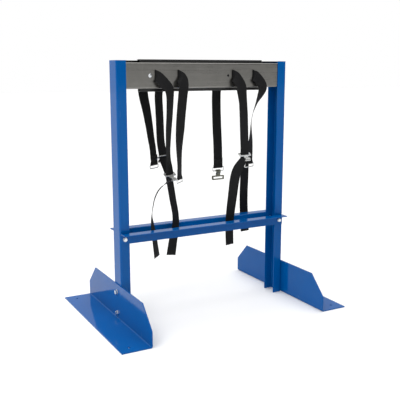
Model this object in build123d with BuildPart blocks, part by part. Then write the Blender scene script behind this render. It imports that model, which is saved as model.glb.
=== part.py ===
from build123d import *
import os
from math import cos, radians, sin

# A free-standing, double-sided steel frame with lashing straps. Millimetres.
# X runs across the frame, Y from front to rear, Z up. The origin is on the floor,
# half way between the two uprights and half way between the front and rear faces.

# ---- frame ----
FRAME_WIDTH = 900.0          # over the outer faces of the two uprights
FRAME_HEIGHT = 1195.0        # floor to the top of the uprights
UPRIGHT_DEPTH = 85.0         # over the front and rear flanges
UPRIGHT_FLANGE = 47.0
UPRIGHT_WALL = 4.0
UPRIGHT_BEND = 3.0           # inner radius of the folds

# ---- feet ----
FOOT_LENGTH = 785.0
FOOT_REACH = 140.0           # floor flange, from the upright outwards
FOOT_HEIGHT = 170.0
FOOT_CORNER = 95.0           # 45 degree cut at both ends of the standing flange
FOOT_WALL = 5.0
FOOT_BEND = 4.0
ANCHOR_HOLE_R = 6.5
ANCHOR_HOLE_EDGE = 50.0      # from the outer edge of the floor flange
ANCHOR_HOLE_END = 46.0       # from each end of the foot
FOOT_BOLT_LOW = 28.0         # heights of the two bolts through each upright
FOOT_BOLT_HIGH = 130.0

# ---- rails ----
RAIL_TOP = 419.0
RAIL_LEG = 50.0
RAIL_WALL = 4.0
RAIL_BEND = 3.0
RAIL_INSET = 4.0             # each end, inside the uprights' outer faces
RAIL_BOLT_DROP = 28.0        # bolt below the rail's top face

# ---- slotted beams and the centre box between them ----
BEAM_HEIGHT = 115.0
REAR_BEAM_RAISE = 10.0       # the rear beam is level with the uprights' tops
BEAM_FLANGE = 25.0
BEAM_WALL = 3.0
BEAM_BEND = 3.0
BEAM_END_GAP = 5.0           # clears the folds of the uprights
BOX_LENGTH = 650.0
BOX_HEIGHT = 144.0
BOX_ABOVE = 5.0              # box top above the uprights' tops
BOX_WALL = 3.0
BOX_BEND = 4.0

# ---- strap slots and their clamping screws ----
SLOT_INNER = 145.0           # from the middle of the frame
SLOT_OUTER = 260.0
SLOT_WIDTH = 8.0
SLOT_OVER = 2.0              # slot beyond the webbing, above and below
SCREW_FROM_SLOT = 26.0

# ---- webbing and its fittings ----
STRAP_WIDTH = 50.0
STRAP_THICK = 2.0
STRAP_EXIT = 2.0             # webbing stands out of the beam before the free strap starts
TAB_BEYOND = 16.0            # webbing beyond the clamping screw
TAB_BEND = 3.0
SEW_LENGTH = 50.0            # doubled, sewn end of a short strap
SEW_RETURN = 46.0
WIRE_R = 2.5
EYE_GAP = 0.5
RING_OVER = 15.0             # ring width between wire centres, over the webbing's
RING_DROP = 18.0
RING_BEND = 5.0
HOOK_WALL = 3.0
HOOK_GAP = 0.7               # between the hook and the wire it hangs on
HOOK_WIDTH = 25.0
PLATE_HEIGHT = 22.0
PLATE_CORNER = 5.0
PLATE_DROP = 35.0            # hook centre to the middle of the webbing slot
PLATE_SLOT_OVER = 4.0        # webbing slot over the webbing's width
PLATE_SLOT_END = 8.0         # steel beyond each end of that slot
PLATE_SLOT_HEIGHT = 9.0
PLATE_TILT = 50.0            # a plate threaded on webbing leans out by this much

# ---- fasteners ----
HOLE_OVER = 0.5              # hole radius over bolt radius
NUT_OVER = 0.1
FOOT_BOLT_R, FOOT_BOLT_ACROSS, FOOT_BOLT_HEAD, FOOT_NUT = 6.0, 18.0, 7.5, 10.0
FOOT_WASHER_R, FOOT_WASHER = 12.0, 2.5
RAIL_BOLT_R, RAIL_BOLT_ACROSS, RAIL_BOLT_HEAD, RAIL_NUT = 5.0, 16.0, 6.4, 8.0
RAIL_WASHER_R, RAIL_WASHER = 10.0, 2.0
CUP_R, CUP_HEAD_R, CUP_HEAD, CUP_NUT, CUP_ACROSS = 4.0, 9.5, 4.5, 6.5, 13.0
SOCKET_R, SOCKET_HEAD_R, SOCKET_HEAD, SOCKET_NUT, SOCKET_ACROSS = 3.0, 5.5, 3.3, 5.0, 10.0
SOCKET_KEY = 4.0
PENNY_R, PENNY = 12.0, 2.0
THREAD_BEYOND = 2.0          # bolt end beyond its nut

# ---- places that follow from the sizes above ----
SIDE = FRAME_WIDTH / 2
FACE = UPRIGHT_DEPTH / 2
BEAM_FACE = FACE - UPRIGHT_WALL              # outer face of a beam, inside the flange
BEAM_HALF = SIDE - UPRIGHT_WALL - BEAM_END_GAP
BOX_HALF_DEPTH = BEAM_FACE - BEAM_FLANGE     # the box fills the space between the flanges
BEAM_BOTTOM = FRAME_HEIGHT - REAR_BEAM_RAISE - BEAM_HEIGHT        # front beam
BOX_BOTTOM = FRAME_HEIGHT + BOX_ABOVE - BOX_HEIGHT
FRONT, REAR = -1, 1
SLOT_Z = {FRONT: BEAM_BOTTOM + BEAM_HEIGHT / 2}
SLOT_Z[REAR] = SLOT_Z[FRONT] + REAR_BEAM_RAISE
SLOT_HEIGHT = STRAP_WIDTH + 2 * SLOT_OVER
RAIL_BOLT_X = SIDE - UPRIGHT_FLANGE / 2
RAIL_BOLT_Z = RAIL_TOP - RAIL_BOLT_DROP
EYE_R = WIRE_R + EYE_GAP
HOOK_R = WIRE_R + HOOK_GAP + HOOK_WALL / 2   # centreline radius of the hook's curl
RING_WIDTH = STRAP_WIDTH + RING_OVER
PLATE_SLOT = STRAP_WIDTH + PLATE_SLOT_OVER
PLATE_WIDTH = PLATE_SLOT + 2 * PLATE_SLOT_END
SLOTS = (-SLOT_OUTER, -SLOT_INNER, SLOT_INNER, SLOT_OUTER)

# Route of each free strap: its slot, its side, then the middle of the webbing across from the
# slot, outwards from its mouth and down from its middle, and where the webbing's width points:
# its bearing and its rise, in degrees. At the slot the width stands upright. The last point of
# a short strap is on the axis of its ring.
ROUTES = {
    "strap_front_left_long": (-SLOT_OUTER, FRONT, [
        (0, 0, 0, 0, 90), (0, 12, 1, 0, 88), (16, 22, 18, -8, 60), (36, 29, 40, -4, 26),
        (52, 32, 58, 4, 4), (54, 34, 80, 18, 0), (53, 37, 107, 26, 0), (49, 39, 174, 30, 0),
        (48, 30, 240, 33, 0), (50, 21, 292, 38, 0), (51, 15, 340, 42, 0), (54, 11, 385, 40, 0),
        (60, 9, 425, 28, 0), (61, 9, 451, 20, 0), (61, 9, 471, 24, 0), (52, 5, 488, 42, 0),
        (30, 0, 502, 58, 0), (7, -6, 526, 64, 0), (-9, -11, 562, 66, 0), (-17, -15, 607, 66, 0),
        (-22, -19, 651, 62, 0), (-16, -23, 697, 48, 0), (-2, -29, 767, 40, 0),
        (10, -33, 852, 36, 0)]),
    "strap_front_left_short": (-SLOT_INNER, FRONT, [
        (0, 0, 0, 0, 90), (0, 12, 1, 0, 88), (9, 23, 18, -4, 54), (13, 26, 36, 0, 14),
        (11, 29, 60, 4, 0), (6, 32, 80, 5, 0), (-1, 35, 131, 6, 0), (-7, 35, 185, 7, 0),
        (-10, 33, 240, 10, 0), (-10, 25, 291, 20, 0), (-9, 19, 340, 32, 0),
        (-4, 12, 405, 42, 0), (0, 5, 476, 42, 0)]),
    "strap_front_right_long": (SLOT_INNER, FRONT, [
        (0, 0, 0, 0, 90), (0, 12, 1, 0, 88), (12, 24, 20, -6, 58), (25, 31, 41, -2, 26),
        (33, 34, 58, 6, 4), (32, 37, 80, 9, 0), (34, 41, 139, 7, 0), (37, 42, 190, 6, 0),
        (40, 41, 248, 5, 0), (44, 39, 308, 6, 0), (46, 39, 352, 6, 0), (46, 39, 378, 6, 0),
        (46, 39, 398, 6, 0), (35, 31, 416, -4, 0), (18, 17, 450, -14, 0), (11, 5, 500, -16, 0),
        (11, -9, 575, -10, 0), (8, -23, 655, -4, 0), (5, -31, 727, 4, 0), (7, -33, 787, 8, 0),
        (9, -33, 842, 8, 0)]),
    "strap_front_right_short": (SLOT_OUTER, FRONT, [
        (0, 0, 0, 0, 90), (0, 12, 1, 0, 88), (20, 16, 19, 0, 60), (38, 18, 40, 0, 28),
        (46, 18, 56, 4, 6), (37, 21, 76, 14, 0), (15, 22, 114, 38, 0), (4, 19, 143, 50, 0),
        (-10, 15, 182, 57, 0), (-19, 14, 231, 56, 0), (-17, 13, 288, 44, 0),
        (-20, 13, 340, 28, 0), (-26, 13, 426, 18, 0)]),
    "strap_rear_left_short": (-SLOT_OUTER, REAR, [
        (0, 0, 0, 0, 90), (0, 13, 1, 0, 86), (-8, 27, 19, 0, 50), (-15, 33, 49, 0, 12),
        (-14, 33, 94, 4, 0), (3, 32, 168, 14, 0), (15, 29, 250, 24, 0), (21, 24, 310, 28, 0),
        (28, 20, 352, 30, 0), (30, 16, 425, 30, 0)]),
    "strap_rear_left_long": (-SLOT_INNER, REAR, [
        (0, 0, 0, 0, 90), (0, 13, 1, 0, 86), (-15, 25, 19, 6, 52), (-38, 30, 50, 14, 18),
        (-52, 31, 91, 18, 0), (-48, 30, 170, 18, 0), (-49, 21, 253, 18, 0),
        (-51, 13, 320, 18, 0), (-44, 8, 365, 14, 0), (-41, 6, 390, 12, 0), (-40, 5, 404, 12, 0),
        (-30, 1, 434, 20, 0), (-18, -5, 480, 26, 0), (-12, -13, 532, 24, 0),
        (-7, -25, 597, 26, 0), (3, -37, 672, 28, 0), (-1, -41, 727, 20, 0),
        (-17, -41, 797, 6, 0), (-27, -41, 865, 2, 0)]),
    "strap_rear_right_short": (SLOT_INNER, REAR, [
        (0, 0, 0, 0, 90), (0, 13, 1, 0, 86), (-8, 27, 19, 0, 50), (-21, 33, 49, 0, 12),
        (-27, 33, 97, 0, 0), (-27, 31, 177, 0, 0), (-24, 29, 277, 0, 0), (-19, 27, 367, 0, 0),
        (-18, 27, 464, 0, 0)]),
    "strap_rear_right_long": (SLOT_OUTER, REAR, [
        (0, 0, 0, 0, 90), (0, 13, 1, 0, 88), (-8, 27, 19, 0, 52), (-7, 34, 49, 4, 14),
        (6, 38, 94, 8, 0), (20, 41, 159, 12, 0), (26, 43, 215, 12, 0), (31, 45, 276, 10, 0),
        (38, 49, 360, 6, 0), (43, 55, 457, 0, 0), (44, 59, 537, 0, 0), (42, 61, 617, 0, 0),
        (44, 62, 697, 0, 0), (49, 61, 757, 0, 0), (52, 61, 823, 0, 0)]),
}
SHORT_STRAPS = [name for name in ROUTES if name.endswith("short")]

# A long strap runs through its hook plate at the point with this number.
PLATE_POINT = {
    "strap_front_left_long": 13,
    "strap_front_right_long": 11,
    "strap_rear_left_long": 9,
}

os.makedirs("parts", exist_ok=True)


def write(part, name):
    """Label a finished piece and write it to its own file."""
    part.label = name
    export_step(part, f"parts/{name}.step")


# ---- fasteners: each is built on the plane it seats on, which faces away from the joint ----

def hex_bolt(seat, radius, grip, across, head):
    with BuildPart() as bolt:
        with BuildSketch(seat):
            RegularPolygon(across / 2, 6, major_radius=False)
        extrude(amount=head)
        with BuildSketch(seat):
            Circle(radius)
        extrude(amount=-grip)
    return bolt.part


def round_screw(seat, radius, grip, head_radius, head, key=0.0):
    """A domed screw, with a hexagon socket where key gives its width."""
    with BuildPart() as screw:
        with BuildSketch(seat):
            Circle(head_radius)
        extrude(amount=head, taper=32)
        with BuildSketch(seat):
            Circle(radius)
        extrude(amount=-grip)
        if key:
            with BuildSketch(seat.offset(head)):
                RegularPolygon(key / 2, 6, major_radius=False)
            extrude(amount=-0.6 * head, mode=Mode.SUBTRACT)
    return screw.part


def flat_ring(seat, outline, radius, thick):
    """A washer or a nut: a plate of any outline with a round hole."""
    with BuildPart() as ring:
        with BuildSketch(seat):
            outline()
            Circle(radius, mode=Mode.SUBTRACT)
        extrude(amount=thick)
    return ring.part


def washer(seat, outer, radius, thick):
    return flat_ring(seat, lambda: Circle(outer), radius + HOLE_OVER, thick)


def nut(seat, across, radius, thick):
    return flat_ring(seat, lambda: RegularPolygon(across / 2, 6, major_radius=False),
                     radius + NUT_OVER, thick)


# ---- uprights: folded channels, open towards each other ----

def bend(inner, wall):
    return inner + wall / 2


with BuildPart() as left_upright:
    middle = UPRIGHT_WALL / 2
    tip = -SIDE + UPRIGHT_FLANGE
    with BuildSketch():
        with BuildLine():
            FilletPolyline((tip, -FACE + middle), (-SIDE + middle, -FACE + middle),
                           (-SIDE + middle, FACE - middle), (tip, FACE - middle),
                           radius=bend(UPRIGHT_BEND, UPRIGHT_WALL))
        trace(line_width=UPRIGHT_WALL)
    extrude(amount=FRAME_HEIGHT)
    with BuildSketch(Plane.YZ.offset(-SIDE)):
        with Locations((0, FOOT_BOLT_LOW), (0, FOOT_BOLT_HIGH)):
            Circle(FOOT_BOLT_R + HOLE_OVER)
    extrude(amount=UPRIGHT_WALL, mode=Mode.SUBTRACT)
    with BuildSketch(Plane.XZ):
        with Locations((-RAIL_BOLT_X, RAIL_BOLT_Z)):
            Circle(RAIL_BOLT_R + HOLE_OVER)
    extrude(amount=FACE, both=True, mode=Mode.SUBTRACT)
write(left_upright.part, "left_upright")

with BuildPart() as right_upright:
    mirror(left_upright.part, about=Plane.YZ)
write(right_upright.part, "right_upright")


# ---- feet: folded plates, one flange on the floor and one against the upright ----

with BuildPart() as left_foot:
    middle = FOOT_WALL / 2
    with BuildSketch(Plane.XZ.offset(-FOOT_LENGTH / 2)):
        with BuildLine():
            FilletPolyline((-SIDE - FOOT_REACH, middle), (-SIDE - middle, middle),
                           (-SIDE - middle, FOOT_HEIGHT), radius=bend(FOOT_BEND, FOOT_WALL))
        trace(line_width=FOOT_WALL)
    extrude(amount=FOOT_LENGTH)
    with BuildSketch(Plane.YZ.offset(-SIDE - FOOT_REACH)):
        end = FOOT_LENGTH / 2
        with BuildLine():
            Polyline((-end, 0), (end, 0), (end, FOOT_HEIGHT - FOOT_CORNER),
                     (end - FOOT_CORNER, FOOT_HEIGHT), (FOOT_CORNER - end, FOOT_HEIGHT),
                     (-end, FOOT_HEIGHT - FOOT_CORNER), close=True)
        make_face()
    extrude(amount=FOOT_REACH, mode=Mode.INTERSECT)
    with BuildSketch():
        with Locations((-SIDE - FOOT_REACH + ANCHOR_HOLE_EDGE, 0)):
            with GridLocations(1, FOOT_LENGTH - 2 * ANCHOR_HOLE_END, 1, 2):
                Circle(ANCHOR_HOLE_R)
    extrude(amount=FOOT_WALL, mode=Mode.SUBTRACT)
    with BuildSketch(Plane.YZ.offset(-SIDE - FOOT_WALL)):
        with Locations((0, FOOT_BOLT_LOW), (0, FOOT_BOLT_HIGH)):
            Circle(FOOT_BOLT_R + HOLE_OVER)
    extrude(amount=FOOT_WALL, mode=Mode.SUBTRACT)
write(left_foot.part, "left_foot")

with BuildPart() as right_foot:
    mirror(left_foot.part, about=Plane.YZ)
write(right_foot.part, "right_foot")


# ---- rails: angles bolted to the outside of the flanges, top leg outwards ----

with BuildPart() as front_rail:
    middle = RAIL_WALL / 2
    half = SIDE - RAIL_INSET
    with BuildSketch(Plane.YZ.offset(-half)):
        with BuildLine():
            FilletPolyline((-FACE - middle, RAIL_TOP - RAIL_LEG),
                           (-FACE - middle, RAIL_TOP - middle),
                           (-FACE - RAIL_LEG, RAIL_TOP - middle),
                           radius=bend(RAIL_BEND, RAIL_WALL))
        trace(line_width=RAIL_WALL)
    extrude(amount=2 * half)
    with BuildSketch(Plane.XZ.offset(FACE)):
        with Locations((0, RAIL_BOLT_Z)):
            with GridLocations(2 * RAIL_BOLT_X, 1, 2, 1):
                Circle(RAIL_BOLT_R + HOLE_OVER)
    extrude(amount=RAIL_WALL, mode=Mode.SUBTRACT)
write(front_rail.part, "front_rail")

with BuildPart() as rear_rail:
    mirror(front_rail.part, about=Plane.XZ)
write(rear_rail.part, "rear_rail")


# ---- slotted beams: channels welded inside the flanges, at the front and at the rear ----

def screw_x(slot):
    """The clamping screw stands on the far side of an outer slot, the near side of an inner one."""
    outwards = 1 if abs(slot) == SLOT_OUTER else -1
    return slot + (outwards if slot > 0 else -outwards) * SCREW_FROM_SLOT


def screw_radius(slot):
    return CUP_R if abs(slot) == SLOT_OUTER else SOCKET_R


with BuildPart() as front_beam:
    middle = BEAM_WALL / 2
    top = BEAM_BOTTOM + BEAM_HEIGHT
    with BuildSketch(Plane.YZ.offset(-BEAM_HALF)):
        with BuildLine():
            FilletPolyline((-BOX_HALF_DEPTH, BEAM_BOTTOM + middle),
                           (-BEAM_FACE + middle, BEAM_BOTTOM + middle),
                           (-BEAM_FACE + middle, top - middle),
                           (-BOX_HALF_DEPTH, top - middle),
                           radius=bend(BEAM_BEND, BEAM_WALL))
        trace(line_width=BEAM_WALL)
    extrude(amount=2 * BEAM_HALF)
    with BuildSketch(Plane.XZ.offset(BEAM_FACE - BEAM_WALL)):
        for slot in SLOTS:
            with Locations((slot, SLOT_Z[FRONT])):
                RectangleRounded(SLOT_WIDTH, SLOT_HEIGHT, 1.5)
            with Locations((screw_x(slot), SLOT_Z[FRONT])):
                Circle(screw_radius(slot) + HOLE_OVER)
    extrude(amount=BEAM_WALL, mode=Mode.SUBTRACT)
write(front_beam.part, "front_beam")

with BuildPart() as rear_beam:
    mirror(Pos(0, 0, REAR_BEAM_RAISE) * front_beam.part, about=Plane.XZ)
write(rear_beam.part, "rear_beam")

with BuildPart() as centre_box:
    with BuildSketch(Plane.YZ.offset(-BOX_LENGTH / 2)):
        with Locations((0, BOX_BOTTOM + BOX_HEIGHT / 2)):
            RectangleRounded(2 * BOX_HALF_DEPTH, BOX_HEIGHT, BOX_BEND)
            Rectangle(2 * (BOX_HALF_DEPTH - BOX_WALL), BOX_HEIGHT - 2 * BOX_WALL,
                      mode=Mode.SUBTRACT)
    extrude(amount=BOX_LENGTH)
write(centre_box.part, "centre_box")


# ---- fasteners of the feet: heads outside, nuts inside the uprights ----

foot_bolts, foot_washers, foot_nuts = [], [], []
for side in (-1, 1):
    for height in (FOOT_BOLT_LOW, FOOT_BOLT_HIGH):
        outer = Plane(origin=(side * (SIDE + FOOT_WALL), 0, height), z_dir=(side, 0, 0))
        inner = Plane(origin=(side * (SIDE - UPRIGHT_WALL), 0, height), z_dir=(-side, 0, 0))
        grip = FOOT_WASHER + FOOT_WALL + UPRIGHT_WALL + FOOT_NUT + THREAD_BEYOND
        foot_washers.append(washer(outer, FOOT_WASHER_R, FOOT_BOLT_R, FOOT_WASHER))
        foot_bolts.append(hex_bolt(outer.offset(FOOT_WASHER), FOOT_BOLT_R, grip,
                                   FOOT_BOLT_ACROSS, FOOT_BOLT_HEAD))
        foot_nuts.append(nut(inner, FOOT_BOLT_ACROSS, FOOT_BOLT_R, FOOT_NUT))

# ---- fasteners of the rails: heads outside, nuts behind the flanges ----

rail_bolts, rail_washers, rail_nuts = [], [], []
for side in (-1, 1):
    for across in (-RAIL_BOLT_X, RAIL_BOLT_X):
        outer = Plane(origin=(across, side * (FACE + RAIL_WALL), RAIL_BOLT_Z), z_dir=(0, side, 0))
        inner = Plane(origin=(across, side * (FACE - UPRIGHT_WALL), RAIL_BOLT_Z),
                      z_dir=(0, -side, 0))
        grip = RAIL_WASHER + RAIL_WALL + UPRIGHT_WALL + RAIL_NUT + THREAD_BEYOND
        rail_washers.append(washer(outer, RAIL_WASHER_R, RAIL_BOLT_R, RAIL_WASHER))
        rail_bolts.append(hex_bolt(outer.offset(RAIL_WASHER), RAIL_BOLT_R, grip,
                                   RAIL_BOLT_ACROSS, RAIL_BOLT_HEAD))
        rail_nuts.append(nut(inner, RAIL_BOLT_ACROSS, RAIL_BOLT_R, RAIL_NUT))

# ---- screws that clamp the webbing inside the beams ----

cup_screws, cup_nuts, socket_screws, socket_nuts, clamp_washers = [], [], [], [], []
for side, slot_z in SLOT_Z.items():
    for slot in SLOTS:
        outer = Plane(origin=(screw_x(slot), side * BEAM_FACE, slot_z), z_dir=(0, side, 0))
        webbing = outer.offset(-BEAM_WALL - STRAP_THICK)
        nut_seat = Plane(origin=webbing.offset(-PENNY).origin, z_dir=(0, -side, 0))
        grip = BEAM_WALL + STRAP_THICK + PENNY + THREAD_BEYOND
        radius = screw_radius(slot)
        clamp_washers.append(washer(webbing.offset(-PENNY), PENNY_R, radius, PENNY))
        if abs(slot) == SLOT_OUTER:
            cup_screws.append(round_screw(outer, radius, grip + CUP_NUT, CUP_HEAD_R, CUP_HEAD))
            cup_nuts.append(nut(nut_seat, CUP_ACROSS, radius, CUP_NUT))
        else:
            socket_screws.append(round_screw(outer, radius, grip + SOCKET_NUT, SOCKET_HEAD_R,
                                             SOCKET_HEAD, SOCKET_KEY))
            socket_nuts.append(nut(nut_seat, SOCKET_ACROSS, radius, SOCKET_NUT))

GROUPS = {
    "foot_bolts": foot_bolts, "foot_washers": foot_washers, "foot_nuts": foot_nuts,
    "rail_bolts": rail_bolts, "rail_washers": rail_washers, "rail_nuts": rail_nuts,
    "cup_screws": cup_screws, "cup_nuts": cup_nuts, "socket_screws": socket_screws,
    "socket_nuts": socket_nuts, "clamp_washers": clamp_washers,
}
for group, pieces in GROUPS.items():
    with BuildPart() as like_pieces:
        add(pieces)
    write(like_pieces.part, group)


# ---- clamped ends of the webbing: flat behind the beam's face, then out through the slot ----

with BuildPart() as strap_tabs:
    for side, slot_z in SLOT_Z.items():
        inside = side * (BEAM_FACE - BEAM_WALL - STRAP_THICK / 2)
        for slot in SLOTS:
            screw = screw_x(slot)
            far = screw + TAB_BEYOND * (1 if screw > slot else -1)
            with BuildSketch(Plane.XY.offset(slot_z - STRAP_WIDTH / 2)):
                with BuildLine():
                    FilletPolyline((far, inside), (slot, inside),
                                   (slot, side * (BEAM_FACE + STRAP_EXIT)), radius=TAB_BEND)
                trace(line_width=STRAP_THICK)
            extrude(amount=STRAP_WIDTH)
            with BuildSketch(Plane.XZ.offset(-inside)):
                with Locations((screw, slot_z)):
                    Circle(screw_radius(slot) + NUT_OVER)
            extrude(amount=STRAP_THICK, both=True, mode=Mode.SUBTRACT)
write(strap_tabs.part, "strap_tabs")


# ---- free straps ----

def width_direction(bearing, rise):
    turn, lift = radians(bearing), radians(rise)
    return Vector(cos(lift) * cos(turn), cos(lift) * sin(turn), sin(lift))


def frames(name):
    """A plane across the webbing at each point of its route, normal along the strap."""
    slot, side, steps = ROUTES[name]
    mouth = Vector(slot, side * (BEAM_FACE + STRAP_EXIT), SLOT_Z[side])
    points = [mouth + Vector(across, side * out, -down) for across, out, down, *turn in steps]
    planes = []
    for index, (*place, bearing, rise) in enumerate(steps):
        before, after = max(index - 1, 0), min(index + 1, len(steps) - 1)
        along = (points[after] - points[before]).normalized()
        width = width_direction(bearing + (180 if side == REAR else 0), rise)
        if index < 2:
            along = Vector(0, side, 0)
        if name in SHORT_STRAPS and index == len(steps) - 1:
            along = Vector(0, 0, -1)
        width = (width - along * width.dot(along)).normalized()
        planes.append(Plane(origin=points[index], x_dir=width, z_dir=along))
    return planes


def eye_plane(end):
    """Across the ring's wire: local X towards the frame, local Y up the strap."""
    return Plane(origin=end.origin, x_dir=(end.z_dir * -1).cross(end.x_dir), z_dir=end.x_dir)


def webbing(sections):
    """The band through its sections. A run that lofts inside out is turned the right way."""
    runs = []
    for start, stop in zip(sections, sections[1:]):
        with BuildPart() as run:
            with BuildSketch(start, stop):
                Rectangle(STRAP_WIDTH, STRAP_THICK)
            loft(ruled=True)
        solid = run.part.solid()
        runs.append(solid if solid.volume > 0 else Solid(solid.wrapped.Reversed()))
    with BuildPart() as band:
        add(runs)
    return band.part


for name in ROUTES:
    sections = frames(name)
    with BuildPart() as strap:
        if name in SHORT_STRAPS:
            end = sections[-1]
            sections[-1] = end.offset(-SEW_LENGTH)
            add(webbing(sections))
            with BuildSketch(eye_plane(end)):
                Circle(EYE_R + STRAP_THICK)
                with Locations((0, SEW_LENGTH / 2)):
                    Rectangle(STRAP_THICK, SEW_LENGTH)
                with Locations((STRAP_THICK, SEW_RETURN / 2)):
                    Rectangle(STRAP_THICK, SEW_RETURN)
                Circle(EYE_R, mode=Mode.SUBTRACT)
            extrude(amount=STRAP_WIDTH / 2, both=True)
        else:
            add(webbing(sections))
    write(strap.part, name)
    runs = [(b.origin - a.origin).length for a, b in zip(sections, sections[1:])]
    flat = sum(runs) * STRAP_WIDTH * STRAP_THICK
    print(f"{name}: {sum(runs):.0f} mm along its points, volume {strap.part.volume:.0f} mm3, "
          f"section times length {flat:.0f} mm3")


# ---- wire rings on the short straps ----

ring_ends = {name: frames(name)[-1] for name in SHORT_STRAPS}


def ring_plane(end):
    """In the ring: local X along the webbing's width, local Y up the strap."""
    return Plane(origin=end.origin, x_dir=end.x_dir, z_dir=end.x_dir.cross(end.z_dir * -1))


for name, end in ring_ends.items():
    with BuildPart() as ring:
        with BuildLine(ring_plane(end)) as wire:
            half = RING_WIDTH / 2
            FilletPolyline((-half, 0), (half, 0), (half, -RING_DROP), (-half, -RING_DROP),
                           radius=RING_BEND, close=True)
        with BuildSketch(Plane(origin=wire.line @ 0, z_dir=wire.line % 0)):
            Circle(WIRE_R)
        sweep()
    ring_name = name.replace("strap", "ring").replace("_short", "")
    write(ring.part, ring_name)
    print(f"{ring_name} hinge at {end.origin}, axis {end.x_dir}")


# ---- hook plates: a webbing slot, a stem and a hook that fits over a ring ----

def hook_plate(centre, width, away):
    """A plate about its hook's centre; away points from its webbing slot to the hook."""
    side_view = Plane(origin=centre, x_dir=away.cross(width), z_dir=width)
    face_view = Plane(origin=centre, x_dir=width, z_dir=width.cross(away))
    bottom = -PLATE_DROP - PLATE_HEIGHT / 2
    with BuildPart() as plate:
        with BuildSketch(side_view):
            with BuildLine():
                FilletPolyline((0, bottom), (0, -3 * HOOK_R), (HOOK_R, -1.5 * HOOK_R),
                               (HOOK_R, 0), radius=HOOK_R / 2)
                ThreePointArc((HOOK_R, 0), (0, HOOK_R), (-HOOK_R, 0))
                Line((-HOOK_R, 0), (-HOOK_R, -HOOK_R))
            trace(line_width=HOOK_WALL)
        extrude(amount=HOOK_WIDTH / 2, both=True)
        with BuildSketch(face_view):
            with Locations((0, -PLATE_DROP)):
                RectangleRounded(PLATE_WIDTH, PLATE_HEIGHT, PLATE_CORNER)
        extrude(amount=HOOK_WALL / 2, both=True)
        with BuildSketch(face_view):
            with Locations((0, -PLATE_DROP)):
                SlotOverall(PLATE_SLOT, PLATE_SLOT_HEIGHT)
        extrude(amount=HOOK_WALL, both=True, mode=Mode.SUBTRACT)
    return plate.part


for name, point in PLATE_POINT.items():
    across = frames(name)[point]
    towards_frame = (across.z_dir * -1).cross(across.x_dir)
    tilt = radians(PLATE_TILT)
    away = across.z_dir * cos(tilt) - towards_frame * sin(tilt)
    hook_name = name.replace("strap", "hook").replace("_long", "")
    write(hook_plate(across.origin + away * PLATE_DROP, across.x_dir, away), hook_name)
    print(f"{hook_name} hinge at {across.origin}, axis {across.x_dir}")

spare_end = ring_ends["strap_rear_right_short"]
spare_hinge = spare_end.origin + spare_end.z_dir * RING_DROP
write(hook_plate(spare_hinge, spare_end.x_dir, spare_end.z_dir * -1), "hook_rear_right")
print(f"hook_rear_right hinge at {spare_hinge}, axis {spare_end.x_dir}")
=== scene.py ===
"""A double-sided strap stand: finishes, lashing straps, fasteners and a plain studio."""

from math import cos, pi, radians, sin, tan

import bmesh
import bpy
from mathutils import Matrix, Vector


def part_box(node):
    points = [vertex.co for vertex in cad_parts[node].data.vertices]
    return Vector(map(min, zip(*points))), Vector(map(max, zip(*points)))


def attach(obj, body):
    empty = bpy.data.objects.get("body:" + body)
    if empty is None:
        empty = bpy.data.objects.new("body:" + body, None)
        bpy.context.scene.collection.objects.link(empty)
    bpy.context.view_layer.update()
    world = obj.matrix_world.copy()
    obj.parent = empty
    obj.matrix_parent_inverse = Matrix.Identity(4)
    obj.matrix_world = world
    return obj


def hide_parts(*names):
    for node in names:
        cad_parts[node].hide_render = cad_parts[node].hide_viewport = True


bl_info = {
    "name": "Strap stand",
    "version": (1, 0, 0),
    "blender": (4, 5, 0),
    "location": "View3D > Sidebar > Strap stand",
    "description": "Builds the straps, fasteners and finishes of a double-sided strap stand",
    "category": "Object",
}

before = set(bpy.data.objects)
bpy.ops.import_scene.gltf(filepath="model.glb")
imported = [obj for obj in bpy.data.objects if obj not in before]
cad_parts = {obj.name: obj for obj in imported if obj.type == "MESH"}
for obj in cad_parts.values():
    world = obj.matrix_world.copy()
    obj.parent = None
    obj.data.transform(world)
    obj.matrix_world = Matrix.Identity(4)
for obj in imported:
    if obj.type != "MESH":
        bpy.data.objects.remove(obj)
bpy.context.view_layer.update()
FRAME_BODY = "frame"

FRONT, REAR = -1, 1
SLOT_OUTER, SLOT_INNER = 0.260, 0.145     # strap slots, from the middle of the frame
SLOT_EXIT = 0.0405                        # where a free strap starts, from the middle of the frame
SLOT_HEIGHTS = {FRONT: 1.1275, REAR: 1.1375}
MM = 0.001
BEAM_FACE, BEAM_INSIDE = 0.0385, 0.0315   # the beams' faces, from the middle of the frame
CHAMFER = tan(radians(30))                # slope of the turned corners of a hexagon head

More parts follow.
